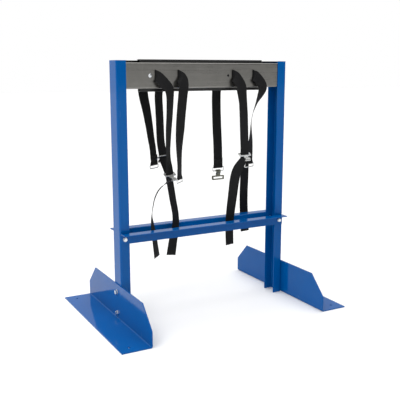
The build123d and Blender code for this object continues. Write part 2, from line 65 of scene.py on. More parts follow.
# Route of each free strap: its slot, its side, then the middle of the webbing in millimetres
# across from the slot, outwards from its mouth and down from its middle, and where the
# webbing's width points: its bearing and its rise, in degrees. The last point of a short strap
# is on the axis of its ring.
ROUTES = {
    "strap_front_left_long": (-SLOT_OUTER, FRONT, [
        (0, 0, 0, 0, 90), (0, 12, 1, 0, 88), (16, 22, 18, -8, 60), (36, 29, 40, -4, 26),
        (52, 32, 58, 4, 4), (54, 34, 80, 18, 0), (53, 37, 107, 26, 0), (49, 39, 174, 30, 0),
        (48, 30, 240, 33, 0), (50, 21, 292, 38, 0), (51, 15, 340, 42, 0), (54, 11, 385, 40, 0),
        (60, 9, 425, 28, 0), (61, 9, 451, 20, 0), (61, 9, 471, 24, 0), (52, 5, 488, 42, 0),
        (30, 0, 502, 58, 0), (7, -6, 526, 64, 0), (-9, -11, 562, 66, 0), (-17, -15, 607, 66, 0),
        (-22, -19, 651, 62, 0), (-16, -23, 697, 48, 0), (-2, -29, 767, 40, 0),
        (10, -33, 852, 36, 0)]),
    "strap_front_left_short": (-SLOT_INNER, FRONT, [
        (0, 0, 0, 0, 90), (0, 12, 1, 0, 88), (9, 23, 18, -4, 54), (13, 26, 36, 0, 14),
        (11, 29, 60, 4, 0), (6, 32, 80, 5, 0), (-1, 35, 131, 6, 0), (-7, 35, 185, 7, 0),
        (-10, 33, 240, 10, 0), (-10, 25, 291, 20, 0), (-9, 19, 340, 32, 0),
        (-4, 12, 405, 42, 0), (0, 5, 476, 42, 0)]),
    "strap_front_right_long": (SLOT_INNER, FRONT, [
        (0, 0, 0, 0, 90), (0, 12, 1, 0, 88), (12, 24, 20, -6, 58), (25, 31, 41, -2, 26),
        (33, 34, 58, 6, 4), (32, 37, 80, 9, 0), (34, 41, 139, 7, 0), (37, 42, 190, 6, 0),
        (40, 41, 248, 5, 0), (44, 39, 308, 6, 0), (46, 39, 352, 6, 0), (46, 39, 378, 6, 0),
        (46, 39, 398, 6, 0), (35, 31, 416, -4, 0), (18, 17, 450, -14, 0), (11, 5, 500, -16, 0),
        (11, -9, 575, -10, 0), (8, -23, 655, -4, 0), (5, -31, 727, 4, 0), (7, -33, 787, 8, 0),
        (9, -33, 842, 8, 0)]),
    "strap_front_right_short": (SLOT_OUTER, FRONT, [
        (0, 0, 0, 0, 90), (0, 12, 1, 0, 88), (20, 16, 19, 0, 60), (38, 18, 40, 0, 28),
        (46, 18, 56, 4, 6), (37, 21, 76, 14, 0), (15, 22, 114, 38, 0), (4, 19, 143, 50, 0),
        (-10, 15, 182, 57, 0), (-19, 14, 231, 56, 0), (-17, 13, 288, 44, 0),
        (-20, 13, 340, 28, 0), (-26, 13, 426, 18, 0)]),
    "strap_rear_left_short": (-SLOT_OUTER, REAR, [
        (0, 0, 0, 0, 90), (0, 13, 1, 0, 86), (-8, 27, 19, 0, 50), (-15, 33, 49, 0, 12),
        (-14, 33, 94, 4, 0), (3, 32, 168, 14, 0), (15, 29, 250, 24, 0), (21, 24, 310, 28, 0),
        (28, 20, 352, 30, 0), (30, 16, 425, 30, 0)]),
    "strap_rear_left_long": (-SLOT_INNER, REAR, [
        (0, 0, 0, 0, 90), (0, 13, 1, 0, 86), (-15, 25, 19, 6, 52), (-38, 30, 50, 14, 18),
        (-52, 31, 91, 18, 0), (-48, 30, 170, 18, 0), (-49, 21, 253, 18, 0),
        (-51, 13, 320, 18, 0), (-44, 8, 365, 14, 0), (-41, 6, 390, 12, 0), (-40, 5, 404, 12, 0),
        (-30, 1, 434, 20, 0), (-18, -5, 480, 26, 0), (-12, -13, 532, 24, 0),
        (-7, -25, 597, 26, 0), (3, -37, 672, 28, 0), (-1, -41, 727, 20, 0),
        (-17, -41, 797, 6, 0), (-27, -41, 865, 2, 0)]),
    "strap_rear_right_short": (SLOT_INNER, REAR, [
        (0, 0, 0, 0, 90), (0, 13, 1, 0, 86), (-8, 27, 19, 0, 50), (-21, 33, 49, 0, 12),
        (-27, 33, 97, 0, 0), (-27, 31, 177, 0, 0), (-24, 29, 277, 0, 0), (-19, 27, 367, 0, 0),
        (-18, 27, 464, 0, 0)]),
    "strap_rear_right_long": (SLOT_OUTER, REAR, [
        (0, 0, 0, 0, 90), (0, 13, 1, 0, 88), (-8, 27, 19, 0, 52), (-7, 34, 49, 4, 14),
        (6, 38, 94, 8, 0), (20, 41, 159, 12, 0), (26, 43, 215, 12, 0), (31, 45, 276, 10, 0),
        (38, 49, 360, 6, 0), (43, 55, 457, 0, 0), (44, 59, 537, 0, 0), (42, 61, 617, 0, 0),
        (44, 62, 697, 0, 0), (49, 61, 757, 0, 0), (52, 61, 823, 0, 0)]),
}


# ---------------------------------------------------------------- sizes and colours

class FinishSettings(bpy.types.PropertyGroup):
    """Colours and textures of the finishes."""

    paint: bpy.props.FloatVectorProperty(
        name="Paint", description="Powder coat of the uprights, feet and rails",
        subtype="COLOR", size=3, min=0, max=1, default=(0.0, 0.086, 0.315))
    sheet_steel: bpy.props.FloatVectorProperty(
        name="Sheet steel", description="Bare steel of the slotted beams",
        subtype="COLOR", size=3, min=0, max=1, default=(0.24, 0.235, 0.22))
    dark_steel: bpy.props.FloatVectorProperty(
        name="Dark steel", description="Box between the beams",
        subtype="COLOR", size=3, min=0, max=1, default=(0.05, 0.05, 0.05))
    zinc: bpy.props.FloatVectorProperty(
        name="Zinc", description="Plating of the fasteners and fittings",
        subtype="COLOR", size=3, min=0, max=1, default=(0.72, 0.75, 0.77))
    webbing: bpy.props.FloatVectorProperty(
        name="Webbing", description="Yarn of the straps",
        subtype="COLOR", size=3, min=0, max=1, default=(0.0045, 0.0045, 0.005))
    peel: bpy.props.FloatProperty(
        name="Orange peel", description="Wavelength of the ripple in the powder coat",
        unit="LENGTH", min=0.0005, max=0.02, default=0.003)


class StrapSettings(bpy.types.PropertyGroup):
    """Sizes of the webbing and its sewn ends."""

    width: bpy.props.FloatProperty(
        name="Width", description="Width of the webbing", unit="LENGTH",
        min=0.01, max=0.1, default=0.05)
    thickness: bpy.props.FloatProperty(
        name="Thickness", description="Thickness of the webbing", unit="LENGTH",
        min=0.0005, max=0.006, default=0.002)
    wire: bpy.props.FloatProperty(
        name="Wire radius", description="Radius of the wire in the sewn eye", unit="LENGTH",
        min=0.001, max=0.01, default=0.0025)
    turned_back: bpy.props.FloatProperty(
        name="Turned back", description="How far the sewn ply reaches up from the ring's axis",
        unit="LENGTH", min=0.02, max=0.1, default=0.046)
    stitch: bpy.props.FloatProperty(
        name="Stitch pitch", description="Distance from one stitch to the next",
        unit="LENGTH", min=0.001, max=0.01, default=0.0034)
    thread: bpy.props.FloatProperty(
        name="Thread", description="Radius of the sewing thread", unit="LENGTH",
        min=0.0001, max=0.001, default=0.00035)


class StageSettings(bpy.types.PropertyGroup):
    """Camera, floor and lights."""

    eye: bpy.props.FloatVectorProperty(
        name="Camera place", description="Where the camera stands", subtype="TRANSLATION",
        unit="LENGTH", size=3, default=(-1.5202, -2.7955, 1.1536))
    bearing: bpy.props.FloatProperty(
        name="Camera bearing", description="Turn of the camera about the upright axis",
        subtype="ANGLE", default=radians(-28.343))
    dip: bpy.props.FloatProperty(
        name="Camera dip", description="How far the camera looks below the horizon",
        subtype="ANGLE", default=radians(11.121))
    lens: bpy.props.FloatProperty(
        name="Lens", description="Focal length, in millimetres", min=10, max=200, default=59.61)
    surround: bpy.props.FloatProperty(
        name="Surround", description="Brightness of the white room", min=0, max=5, default=0.9)
    floor: bpy.props.FloatProperty(
        name="Floor size", description="Side of the pale floor", unit="LENGTH",
        min=2, max=100, default=60)


# ---------------------------------------------------------------- small helpers

def settings():
    return bpy.context.scene.strap_stand


def put(tree, kind, inputs=None, **attributes):
    """A node in the tree; inputs go to its sockets by name or number."""
    made = tree.nodes.new(kind)
    for key, value in attributes.items():
        setattr(made, key, value)
    for key, value in (inputs or {}).items():
        if isinstance(value, bpy.types.NodeSocket):
            tree.links.new(value, made.inputs[key])
        else:
            made.inputs[key].default_value = value
    return made


def calculate(tree, operation, *values):
    return put(tree, "ShaderNodeMath", dict(enumerate(values)), operation=operation).outputs[0]


def ramp(tree, value, low, high, to_low=0.0, to_high=1.0):
    """The value, spread from low..high onto to_low..to_high and held at both ends."""
    inputs = {"Value": value, "From Min": low, "From Max": high,
              "To Min": to_low, "To Max": to_high}
    return put(tree, "ShaderNodeMapRange", inputs).outputs["Result"]


def tint(tree, factor, first, second):
    """A colour between two, by the factor."""
    mixed = put(tree, "ShaderNodeMix", {0: factor, 6: first, 7: second}, data_type="RGBA")
    return mixed.outputs[2]


def linked(name, data=None):
    """A new object in the scene, with this data."""
    made = bpy.data.objects.new(name, data)
    bpy.context.scene.collection.objects.link(made)
    return made


def coat(name, finish):
    """Give a node of the frame its one finish."""
    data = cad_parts[name].data
    data.materials.clear()
    data.materials.append(finish)


def opaque(colour, gain=1.0):
    return (*[min(1.0, channel * gain) for channel in colour], 1.0)


def shader_group(name, inputs, outputs, fill):
    """A shader node group with named float or vector sockets, filled once."""
    group = bpy.data.node_groups.get(name)
    if group is None:
        group = bpy.data.node_groups.new(name, "ShaderNodeTree")
        for title, default in inputs.items():
            vector = default is None
            socket = group.interface.new_socket(
                title, in_out="INPUT",
                socket_type="NodeSocketVector" if vector else "NodeSocketFloat")
            if not vector:
                socket.default_value = default
        for title in outputs:
            group.interface.new_socket(title, in_out="OUTPUT", socket_type="NodeSocketFloat")
        entry = group.nodes.new("NodeGroupInput").outputs
        result = group.nodes.new("NodeGroupOutput").inputs
        for title, socket in fill(group, entry).items():
            group.links.new(socket, result[title])
    return group


def use(tree, group, **inputs):
    """The outputs of a shader group, with these inputs."""
    return put(tree, "ShaderNodeGroup", inputs, node_tree=group).outputs


def material(name, fill, **principled):
    """A material whose Principled BSDF has these plain values, then what fill links to it."""
    made = bpy.data.materials.get(name)
    if made is None:
        made = bpy.data.materials.new(name)
        made.use_nodes = True
        tree = made.node_tree
        shader = next(n for n in tree.nodes if n.type == "BSDF_PRINCIPLED")
        for key, value in principled.items():
            shader.inputs[key.replace("_", " ")].default_value = value
        fill(tree, shader)
    return made


def bump(tree, shader, height, strength, distance):
    normal = put(tree, "ShaderNodeBump",
                 {"Height": height, "Strength": strength, "Distance": distance})
    tree.links.new(normal.outputs["Normal"], shader.inputs["Normal"])


# ---------------------------------------------------------------- shared effects

def fine_surface():
    """A rippled, slightly mottled skin: ripple is a height, mottle a slow mask."""
    def fill(tree, entry):
        ripple = put(tree, "ShaderNodeTexNoise",
                     {"Vector": entry["Place"], "Scale": entry["Fineness"],
                      "Detail": 1.5, "Roughness": 0.45})
        mottle = put(tree, "ShaderNodeTexNoise",
                     {"Vector": entry["Place"], "Scale": entry["Patches"],
                      "Detail": 3.0, "Roughness": 0.6})
        return {"Ripple": ripple.outputs["Fac"],
                "Mottle": ramp(tree, mottle.outputs["Fac"], 0.32, 0.68)}
    return shader_group("fine surface", {"Place": None, "Fineness": 300.0, "Patches": 6.0},
                        ("Ripple", "Mottle"), fill)


def handling_marks():
    """Sparse fine scratches and small scuffs left by handling."""
    def fill(tree, entry):
        masks = []
        for turn, stretch in ((0.5, 40.0), (-0.8, 55.0)):
            mapping = put(tree, "ShaderNodeMapping", {"Vector": entry["Place"]})
            mapping.inputs["Rotation"].default_value = (turn, turn * 0.6, turn)
            mapping.inputs["Scale"].default_value = (stretch * 12, stretch, stretch * 0.3)
            lines = put(tree, "ShaderNodeTexNoise",
                        {"Vector": mapping.outputs[0], "Scale": 1.0, "Detail": 2.0})
            masks.append(ramp(tree, lines.outputs["Fac"], 0.70, 0.76))
        where = put(tree, "ShaderNodeTexNoise",
                    {"Vector": entry["Place"], "Scale": 9.0, "Detail": 2.0})
        patch = ramp(tree, where.outputs["Fac"], 0.52, 0.66)
        lines = calculate(tree, "MAXIMUM", *masks)
        marks = calculate(tree, "MULTIPLY", lines, patch)
        return {"Marks": calculate(tree, "MULTIPLY", marks, entry["Amount"])}
    return shader_group("handling marks", {"Place": None, "Amount": 1.0}, ("Marks",), fill)


def rolling_lines():
    """Streaks along one direction, as rolling and drawing leave in steel."""
    def fill(tree, entry):
        streaks = put(tree, "ShaderNodeTexNoise",
                      {"Vector": entry["Place"], "Scale": 1.0, "Detail": 4.0, "Roughness": 0.65})
        return {"Streaks": streaks.outputs["Fac"]}
    return shader_group("rolling lines", {"Place": None}, ("Streaks",), fill)


def weave():
    """Lashing webbing: warp ribs in chevrons, weft picks, and two firm edges.

    Across and Along are distances on the webbing, in metres, across from its middle.
    """
    def fill(tree, entry):
        across = calculate(tree, "DIVIDE", entry["Across"], entry["Rib"])
        along = calculate(tree, "DIVIDE", entry["Along"], entry["Pick"])
        chevron = calculate(tree, "PINGPONG", across, 4.0)
        slant = calculate(tree, "ADD", along, calculate(tree, "MULTIPLY", chevron, 0.5))
        pick = calculate(tree, "SINE", calculate(tree, "MULTIPLY", slant, 2 * pi))
        rib = calculate(tree, "SINE", calculate(tree, "MULTIPLY", across, 2 * pi))
        body = calculate(tree, "MULTIPLY_ADD", rib, 0.3, calculate(tree, "MULTIPLY", pick, 0.5))
        height = calculate(tree, "MULTIPLY_ADD", body, 0.5, 0.5)
        edge = ramp(tree, calculate(tree, "ABSOLUTE", entry["Across"]), 0.0215, 0.0225)
        firm = calculate(tree, "MULTIPLY_ADD", edge, 0.25, height)
        return {"Height": firm, "Thread": height, "Edge": edge}
    return shader_group("weave", {"Across": 0.0, "Along": 0.0, "Rib": 0.0022, "Pick": 0.0026},
                        ("Height", "Thread", "Edge"), fill)


# ---------------------------------------------------------------- finishes

def object_place(tree, scale=(1, 1, 1)):
    place = put(tree, "ShaderNodeTexCoord").outputs["Object"]
    if scale == (1, 1, 1):
        return place
    return put(tree, "ShaderNodeMapping", {"Vector": place, "Scale": scale}).outputs[0]


def powder_coat():
    finish = settings().finish

    def fill(tree, shader):
        place = object_place(tree)
        skin = use(tree, fine_surface(), Place=place, Fineness=1 / finish.peel, Patches=5.0)
        marks = use(tree, handling_marks(), Place=place, Amount=0.5)["Marks"]
        base = tint(tree, skin["Mottle"], opaque(finish.paint, 0.96), opaque(finish.paint, 1.04))
        colour = tint(tree, marks, base, opaque([0.08, 0.2, 0.42]))
        tree.links.new(colour, shader.inputs["Base Color"])
        rough = ramp(tree, skin["Mottle"], 0, 1, 0.06, 0.11)
        rougher = calculate(tree, "MULTIPLY_ADD", marks, 0.25, rough)
        tree.links.new(rougher, shader.inputs["Roughness"])
        bump(tree, shader, skin["Ripple"], 0.05, 0.0003)
    return material("blue powder coat", fill, IOR=1.5, Specular_IOR_Level=0.15)


def steel(name, colour, roughness, streak_scale, metallic=1.0):
    """Bare or plated steel with rolling streaks along the part."""
    def fill(tree, shader):
        place = object_place(tree)
        lines = use(tree, rolling_lines(), Place=object_place(tree, streak_scale))["Streaks"]
        skin = use(tree, fine_surface(), Place=place, Fineness=900.0, Patches=14.0)
        marks = use(tree, handling_marks(), Place=place, Amount=0.6)["Marks"]
        base = tint(tree, skin["Mottle"], opaque(colour, 0.88), opaque(colour, 1.08))
        streaked = tint(tree, ramp(tree, lines, 0.3, 0.7, 0.0, 0.4), base, opaque(colour, 1.25))
        tree.links.new(tint(tree, marks, streaked, opaque(colour, 1.6)),
                       shader.inputs["Base Color"])
        rough = ramp(tree, lines, 0.3, 0.7, roughness * 0.85, roughness * 1.2)
        tree.links.new(rough, shader.inputs["Roughness"])
        bump(tree, shader, calculate(tree, "ADD", lines, skin["Ripple"]), 0.08, 0.0002)
    return material(name, fill, Metallic=metallic)


def zinc_plate(name="zinc plate", colour=None, roughness=0.28):
    """Bright plating with the soft cloudy grain of dipped or tumbled parts."""
    colour = colour or settings().finish.zinc

    def fill(tree, shader):
        place = object_place(tree)
        skin = use(tree, fine_surface(), Place=place, Fineness=1400.0, Patches=160.0)
        marks = use(tree, handling_marks(), Place=place, Amount=0.7)["Marks"]
        base = tint(tree, skin["Mottle"], opaque(colour, 0.85), opaque(colour, 1.06))
        tree.links.new(tint(tree, marks, base, opaque(colour, 0.6)), shader.inputs["Base Color"])
        tree.links.new(ramp(tree, skin["Mottle"], 0, 1, roughness * 0.8, roughness * 1.25),
                       shader.inputs["Roughness"])
        bump(tree, shader, skin["Ripple"], 0.1, 0.0001)
    return material(name, fill, Metallic=1.0)


def woven(name, measured_on_strap):
    """Black polyester webbing, woven along the strap or, inside the beams, along X."""
    finish = settings().finish

    def fill(tree, shader):
        if measured_on_strap:
            uv = put(tree, "ShaderNodeUVMap", uv_map="webbing").outputs["UV"]
            parts = put(tree, "ShaderNodeSeparateXYZ", {0: uv}).outputs
            across, along = parts["X"], parts["Y"]
        else:
            parts = put(tree, "ShaderNodeSeparateXYZ", {0: object_place(tree)}).outputs
            across = calculate(tree, "SUBTRACT", parts["Z"], SLOT_HEIGHTS[FRONT])
            along = parts["X"]
        cloth = use(tree, weave(), Across=across, Along=along)
        dust = put(tree, "ShaderNodeTexNoise",
                   {"Vector": object_place(tree), "Scale": 45.0, "Detail": 4.0})
        faded = ramp(tree, dust.outputs["Fac"], 0.45, 0.75, 0.0, 0.35)
        # Painted shade and painted highlight: the yarn colour follows the weave's relief height,
        # darker in its grooves and lighter on its ridges.
        yarn_with_painted_weave_shade = tint(tree, cloth["Thread"], opaque(finish.webbing, 0.7),
                    opaque(finish.webbing, 1.5))
        tree.links.new(tint(tree, faded, yarn_with_painted_weave_shade, opaque(finish.webbing, 1.9)),
                       shader.inputs["Base Color"])
        tree.links.new(ramp(tree, cloth["Thread"], 0, 1, 0.82, 0.62), shader.inputs["Roughness"])
        bump(tree, shader, cloth["Height"], 0.6, 0.00035)
    return material(name, fill, Sheen_Weight=0.03, Sheen_Roughness=0.4, Specular_IOR_Level=0.2)


def sewing_thread():
    def fill(tree, shader):
        twist = put(tree, "ShaderNodeTexWave",
                    {"Vector": object_place(tree), "Scale": 900.0, "Distortion": 1.0})
        # Painted shade and painted highlight: the thread's colour follows the same twist ridges as
        # its bump, darker in the grooves and lighter on the ridges.
        tree.links.new(tint(tree, twist.outputs["Fac"], (0.018, 0.018, 0.02, 1),
                            (0.05, 0.05, 0.055, 1)), shader.inputs["Base Color"])
        bump(tree, shader, twist.outputs["Fac"], 0.4, 0.0001)
    return material("sewing thread", fill, Roughness=0.6)


def pale_floor():
    def fill(tree, shader):
        cloud = put(tree, "ShaderNodeTexNoise",
                    {"Vector": object_place(tree), "Scale": 0.7, "Detail": 2.0})
        tree.links.new(tint(tree, cloud.outputs["Fac"], (0.90, 0.90, 0.90, 1),
                            (0.93, 0.93, 0.93, 1)), shader.inputs["Base Color"])
    return material("pale floor", fill, Roughness=0.9)


# ---------------------------------------------------------------- meshes

def mesh_piece(name, vertices, faces, smooth=True):
    mesh = bpy.data.meshes.new(name)
    mesh.from_pydata([tuple(v) for v in vertices], [], faces)
    mesh.validate()
    mesh.polygons.foreach_set("use_smooth", [smooth] * len(mesh.polygons))
    return linked(name, mesh)


def hexagon_radius(across, angle):
    """Distance from the middle of a hexagon to its outline at this angle."""
    from_flat = (angle + pi / 6) % (pi / 3) - pi / 6
    return across / 2 / cos(from_flat)


def ring_of(size, height, hexagonal, count):
    """Points of one ring of a turned or hexagonal part."""
    points = []
    for step in range(count):
        angle = 2 * pi * step / count
        radius = hexagon_radius(size, angle) if hexagonal else size
        points.append(Vector((radius * cos(angle), radius * sin(angle), height)))
    return points


def stacked(name, rings, closed=False):
    """A skin over a stack of rings; its ends are capped unless it closes on itself."""
    count = len(rings[0])
    vertices = [point for ring in rings for point in ring]
    levels = len(rings) if closed else len(rings) - 1
    faces = []
    for level in range(levels):
        here, there = level * count, (level + 1) % len(rings) * count
        for step in range(count):
            after = (step + 1) % count
            faces.append((here + step, here + after, there + after, there + step))
    if not closed:
        faces.append(tuple(reversed(range(count))))
        faces.append(tuple(range((len(rings) - 1) * count, len(rings) * count)))
    made = mesh_piece(name, vertices, faces, smooth=False)
    outwards(made)
    made.data.shade_smooth()
    sharpen(made)
    return made


def outwards(piece):
    work = bmesh.new()
    work.from_mesh(piece.data)
    bmesh.ops.remove_doubles(work, verts=work.verts, dist=1e-7)
    bmesh.ops.recalc_face_normals(work, faces=work.faces)
    work.to_mesh(piece.data)
    work.free()


def sharpen(piece, angle=radians(32)):
    """Edges between faces that meet at more than the angle are shaded sharp."""
    work = bmesh.new()
    work.from_mesh(piece.data)
    for edge in work.edges:
        edge.smooth = len(edge.link_faces) == 2 and edge.calc_face_angle(0) < angle
    work.to_mesh(piece.data)
    work.free()


def chamfered_hexagon(across, low, high, count=48, both=False):
    """Rings of a hexagon whose corners are turned down at its far end, or at both."""
    crown = across / 2 * 0.95
    lower, upper = [], []
    for step in range(count):
        angle = 2 * pi * step / count
        radius = hexagon_radius(across, angle)
        fall = (radius - crown) * CHAMFER
        x, y = radius * cos(angle), radius * sin(angle)
        lower.append(Vector((x, y, low + (fall if both else 0))))
        upper.append(Vector((x, y, high - fall)))
    first = ring_of(crown, low, False, count)
    last = ring_of(crown, high, False, count)
    return ([first] if both else []) + [lower, upper, last]


def threaded(radius, start, stop, pitch, count=48):
    """Rings of a thread from start down to stop, ending in a small chamfer."""
    rings, height = [], start
    while height - pitch > stop + pitch:
        rings.append(ring_of(radius, height, False, count))
        rings.append(ring_of(radius - 0.55 * pitch, height - pitch / 2, False, count))
        height -= pitch
    rings.append(ring_of(radius, height, False, count))
    rings.append(ring_of(radius, stop + pitch / 2, False, count))
    rings.append(ring_of(radius - pitch / 2, stop, False, count))
    return rings


def hexagon_bolt(name, across, head, radius, length, pitch):
    shank = [ring_of(across / 2 * 0.94, 0, False, 48), ring_of(radius, 0, False, 48)]
    shank += threaded(radius, -length * 0.45, -length, pitch)
    crown = list(reversed(chamfered_hexagon(across, head * 0.06, head)))
    crown.insert(0, ring_of(across / 2 * 0.86, head, False, 48))
    return stacked(name, list(reversed(crown + shank)))


def nut(name, across, height, radius, pitch):
    outside = chamfered_hexagon(across, 0, height, both=True)
    mouth = radius + pitch * 0.25
    inside = [ring_of(mouth, height, False, 48),
              ring_of(radius, height - pitch * 0.5, False, 48),
              ring_of(radius, pitch * 0.5, False, 48), ring_of(mouth, 0, False, 48)]
    return stacked(name, outside + inside, closed=True)


def washer(name, radius, hole, thickness):
    """A punched washer: rounded on one face, slightly sharp on the other."""
    soft = thickness * 0.25
    rings = [(hole, 0), (radius - soft * 0.4, 0), (radius, soft * 0.4),
             (radius, thickness - soft), (radius - soft, thickness),
             (hole + soft * 0.5, thickness), (hole, thickness - soft * 0.5)]
    return stacked(name, [ring_of(r, z, False, 48) for r, z in rings], closed=True)


def domed_screw(name, head_radius, head, radius, length, pitch, key=0.0):
    """A low dome with a plain crown, or with a hexagon socket of the key's width."""
    dome = [ring_of(head_radius * share, head * rise, False, 48) for share, rise in
            ((0.97, 0.0), (1.0, 0.12), (0.97, 0.35), (0.86, 0.62), (0.66, 0.84))]
    if key:
        lip = ring_of(key * 0.64, head * 0.98, False, 48)
        dome += [lip, ring_of(key, head * 0.92, True, 48), ring_of(key, head * 0.35, True, 48),
                 ring_of(key * 0.1, head * 0.25, False, 48)]
    else:
        dome += [ring_of(head_radius * 0.36, head * 0.96, False, 48),
                 ring_of(head_radius * 0.08, head, False, 48)]
    shank = [ring_of(radius, 0, False, 48)] + threaded(radius, -length * 0.4, -length, pitch)
    return stacked(name, list(reversed(shank)) + dome)


# ---------------------------------------------------------------- geometry node trees

def tree_output(tree, geometry, finish):
    real = put(tree, "GeometryNodeRealizeInstances", {"Geometry": geometry})
    coated = put(tree, "GeometryNodeSetMaterial",
                 {"Geometry": real.outputs[0], "Material": finish})
    out = tree.nodes.new("NodeGroupOutput")
    tree.links.new(coated.outputs[0], out.inputs[0])


def geometry_tree(name, sockets):
    tree = bpy.data.node_groups.new(name, "GeometryNodeTree")
    tree.interface.new_socket("Geometry", in_out="OUTPUT", socket_type="NodeSocketGeometry")
    tree.interface.new_socket("Geometry", in_out="INPUT", socket_type="NodeSocketGeometry")
    for title, kind in sockets.items():
        tree.interface.new_socket(title, in_out="INPUT", socket_type=kind)
    return tree, tree.nodes.new("NodeGroupInput").outputs


def fastener_tree():
    """One fastener on every seat, its axis along the seat's facing, turned seat by seat."""
    tree = bpy.data.node_groups.get("seated fasteners")
    if tree:
        return tree
    tree, entry = geometry_tree("seated fasteners", {
        "Fastener": "NodeSocketObject", "Turn Step": "NodeSocketFloat",
        "Finish": "NodeSocketMaterial"})
    facing = put(tree, "GeometryNodeInputNamedAttribute", {"Name": "facing"},
                 data_type="FLOAT_VECTOR").outputs["Attribute"]
    stand = put(tree, "FunctionNodeAlignRotationToVector", {"Vector": facing}, axis="Z")
    index = put(tree, "GeometryNodeInputIndex").outputs[0]
    turn = put(tree, "ShaderNodeMath", {0: index, 1: entry["Turn Step"]},
               operation="MULTIPLY").outputs[0]
    about = put(tree, "FunctionNodeAxisAngleToRotation", {"Axis": (0, 0, 1), "Angle": turn})
    spun = put(tree, "FunctionNodeRotateRotation",
               {"Rotation": stand.outputs[0], "Rotate By": about.outputs[0]},
               rotation_space="LOCAL")
    shape = put(tree, "GeometryNodeObjectInfo", {"Object": entry["Fastener"]})
    placed = put(tree, "GeometryNodeInstanceOnPoints",
                 {"Points": entry["Geometry"], "Instance": shape.outputs["Geometry"],
                  "Rotation": spun.outputs[0]})
    tree_output(tree, placed.outputs[0], entry["Finish"])
    return tree


def stitch_tree():
    """Stitches of sewing thread, end to end along every edge line of the seam."""
    tree = bpy.data.node_groups.get("seam stitches")
    if tree:
        return tree
    tree, entry = geometry_tree("seam stitches", {
        "Stitch": "NodeSocketObject", "Pitch": "NodeSocketFloat",
        "Finish": "NodeSocketMaterial"})
    facing = put(tree, "GeometryNodeInputNamedAttribute", {"Name": "facing"},
                 data_type="FLOAT_VECTOR").outputs["Attribute"]
    kept = put(tree, "GeometryNodeCaptureAttribute", {"Geometry": entry["Geometry"]},
               domain="POINT")
    kept.capture_items.new("VECTOR", "facing")
    tree.links.new(facing, kept.inputs[1])
    lines = put(tree, "GeometryNodeMeshToCurve", {"Mesh": kept.outputs["Geometry"]})
    points = put(tree, "GeometryNodeCurveToPoints",
                 {"Curve": lines.outputs[0], "Length": entry["Pitch"]}, mode="LENGTH")
    along = put(tree, "FunctionNodeAlignRotationToVector",
                {"Vector": points.outputs["Tangent"]}, axis="X")
    flat = put(tree, "FunctionNodeAlignRotationToVector",
               {"Rotation": along.outputs[0], "Vector": kept.outputs[1]},
               axis="Z", pivot_axis="X")
    shape = put(tree, "GeometryNodeObjectInfo", {"Object": entry["Stitch"]})
    placed = put(tree, "GeometryNodeInstanceOnPoints",
                 {"Points": points.outputs["Points"], "Instance": shape.outputs["Geometry"],
                  "Rotation": flat.outputs[0]})
    tree_output(tree, placed.outputs[0], entry["Finish"])
    return tree


def made_by(tree, name, source, **inputs):
    """The mesh that the tree makes of the source object, as a plain object of this name."""
    modifier = source.modifiers.new("build", "NODES")
    modifier.node_group = tree
    for item in tree.interface.items_tree:
        key = item.name.lower().replace(" ", "_")
        if item.in_out == "INPUT" and key in inputs:
            modifier[item.identifier] = inputs[key]
    evaluated = source.evaluated_get(bpy.context.evaluated_depsgraph_get())
    mesh = bpy.data.meshes.new_from_object(evaluated)
    mesh.name = name
    source.modifiers.remove(modifier)
    bpy.data.objects.remove(source)
    return linked(name, mesh)


def seats(name, places):
    """Points that fasteners sit on; each place is a point and the way it faces."""
    made = mesh_piece(name, [place for place, facing in places], [])
    facing = made.data.attributes.new("facing", "FLOAT_VECTOR", "POINT")
    for item, (place, way) in zip(facing.data, places):
        item.vector = way
    return made


def fasteners(name, shape, places, finish, turn_step=0.9):
    """Copies of one shape on its seats, standing for the frame's node of the same name."""
    made = made_by(fastener_tree(), name.replace("_", "-"), seats(name + "_seats", places),
                   fastener=shape, turn_step=turn_step, finish=finish)
    bpy.data.objects.remove(shape)
    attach(made, FRAME_BODY)
    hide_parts(name)
    return made


# ---------------------------------------------------------------- straps

def curve_points(points):
    """Points along the smooth curve that has these as its control points."""
    curve = bpy.data.curves.new("route", "CURVE")
    curve.dimensions = "3D"
    curve.resolution_u = 10
    spline = curve.splines.new("NURBS")
    spline.points.add(len(points) - 1)
    for control, point in zip(spline.points, points):
        control.co = (*point, 1.0)
    spline.order_u = 3
    spline.use_endpoint_u = True
    holder = linked("route", curve)
    line = bpy.data.meshes.new_from_object(holder)
    result = [vertex.co.copy() for vertex in line.vertices]
    bpy.data.objects.remove(holder)
    bpy.data.curves.remove(curve)
    bpy.data.meshes.remove(line)
    return result


def width_direction(bearing, rise):
    turn, lift = radians(bearing), radians(rise)
    return Vector((cos(lift) * cos(turn), cos(lift) * sin(turn), sin(lift)))


def square_to(width, along):
    return (width - along * width.dot(along)).normalized()


def stations(name):
    """The points of a strap's route and the way its width points at each."""
    slot, side, steps = ROUTES[name]
    turned = 180 if side == REAR else 0
    points = [Vector((slot + across * MM, side * (SLOT_EXIT + out * MM),
                      SLOT_HEIGHTS[side] - down * MM)) for across, out, down, *turn in steps]
    widths = [width_direction(bearing + turned, rise) for *place, bearing, rise in steps]
    return points, widths


def webbing_line(name):
    """(middle, width direction) at each point along a strap."""
    points, widths = stations(name)
    sides = []
    for index, width in enumerate(widths):
        before, after = max(index - 1, 0), min(index + 1, len(points) - 1)
        along = (points[after] - points[before]).normalized()
        if index < 2:
            along = Vector((0, points[0].y, 0)).normalized()
        sides.append(square_to(width, along))
    middles = curve_points(points)
    edges = curve_points([p + s * 0.02 for p, s in zip(points, sides)])
    line = []
    for index, (middle, edge) in enumerate(zip(middles, edges)):
        before, after = max(index - 1, 0), min(index + 1, len(middles) - 1)
        along = (middles[after] - middles[before]).normalized()
        line.append((middle, square_to(edge - middle, along)))
    return line


